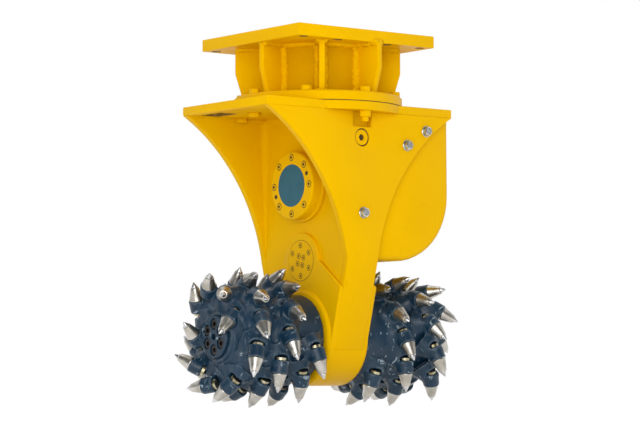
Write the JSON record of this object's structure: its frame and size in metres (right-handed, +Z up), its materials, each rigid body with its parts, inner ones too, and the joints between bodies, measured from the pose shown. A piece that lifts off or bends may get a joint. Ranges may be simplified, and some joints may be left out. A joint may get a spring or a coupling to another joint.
{
  "type": "drum cutter attachment",
  "caption": "Excavator drum cutter: ribbed adapter, bent plate housing with a gear arm and motor guard, and twin pick drums that spin on one cross shaft.",
  "frame": {"origin": "middle of the adapter plate's top face, where the carrier machine's arm bolts on", "axes": "+Z up out of the mounting face, X along the drum shaft, -Y to the front plate with the oil plug"},
  "size_m": [0.65, 0.374, 0.8203],
  "materials": {
    "yellow_paint": "gloss",
    "slate_paint": "satin",
    "pick_steel": "satin",
    "sleeve_brass": "satin",
    "dark_steel": "matte"
  },
  "bodies": {
    "carrier": {"adapter_plate": "yellow_paint", "adapter_tube": "yellow_paint", "adapter_ribs": "yellow_paint", "adapter_flange": "yellow_paint", "top_plate": "yellow_paint", "front_plate": "yellow_paint", "back_plate": "yellow_paint", "nose_plate": "yellow_paint", "gear_case": "yellow_paint", "arm_pad_left": "yellow_paint", "arm_pad_right": "yellow_paint", "motor_cover": "yellow_paint", "idler_cover_left": "yellow_paint", "idler_cover_right": "yellow_paint", "drum_seat_left": "yellow_paint", "drum_seat_right": "yellow_paint", "motor_guard": "yellow_paint", "hydraulic_motor": "dark_steel", "oil_plug": "yellow_paint"},
    "cutter": {"drum_shaft": "dark_steel", "drum_left": "slate_paint", "drum_right": "slate_paint", "picks_left": "pick_steel", "picks_right": "pick_steel", "sleeves_left": "sleeve_brass", "sleeves_right": "sleeve_brass", "hub_cap_left": "slate_paint", "hub_cap_right": "slate_paint"}
  },
  "joints": [
    {"name": "drum_spin", "type": "hinge", "parent": "carrier", "child": "cutter", "pos_m": [0, 0, -0.668], "axis": [1, 0, 0], "continuous": true}
  ]
}
